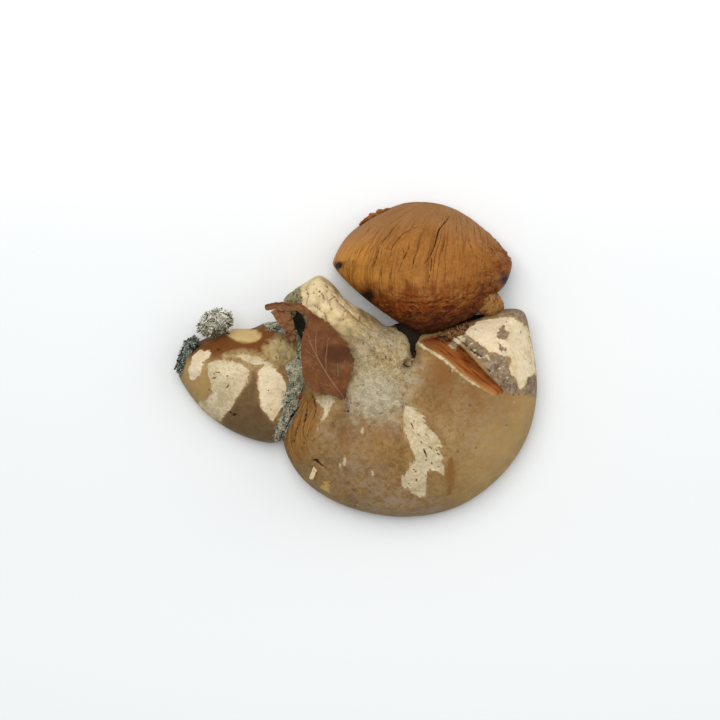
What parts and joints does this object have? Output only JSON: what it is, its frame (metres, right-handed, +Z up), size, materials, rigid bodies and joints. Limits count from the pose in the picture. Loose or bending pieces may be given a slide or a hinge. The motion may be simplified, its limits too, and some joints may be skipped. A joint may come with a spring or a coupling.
{
  "type": "dried oyster mushroom",
  "caption": "Dried oyster mushroom cluster lying gills down: a broad split cap, a small cap and a shrivelled wrinkled cap grown from a shared base, with a dead leaf and moss on it.",
  "frame": {"origin": "under the middle of the cluster's outline, on the surface that it lies on, gills down", "axes": "+Z up; +X along the cluster, from the small cap towards the large cap's torn side; +Y from the large cap towards the shrivelled cap"},
  "size_m": [0.1545, 0.1354, 0.0428],
  "materials": {
    "fungus_flesh": "matt dry skin, tan-brown with cream patches",
    "leaf_brown": "matt dead leaf",
    "moss_pale": "matt pale grey-green",
    "moss_dark": "matt dark green"
  },
  "bodies": {
    "root": {"fungus": "fungus_flesh", "leaf": "leaf_brown", "moss_tuft": "moss_pale", "moss_crust": "moss_dark"}
  },
  "joints": []
}
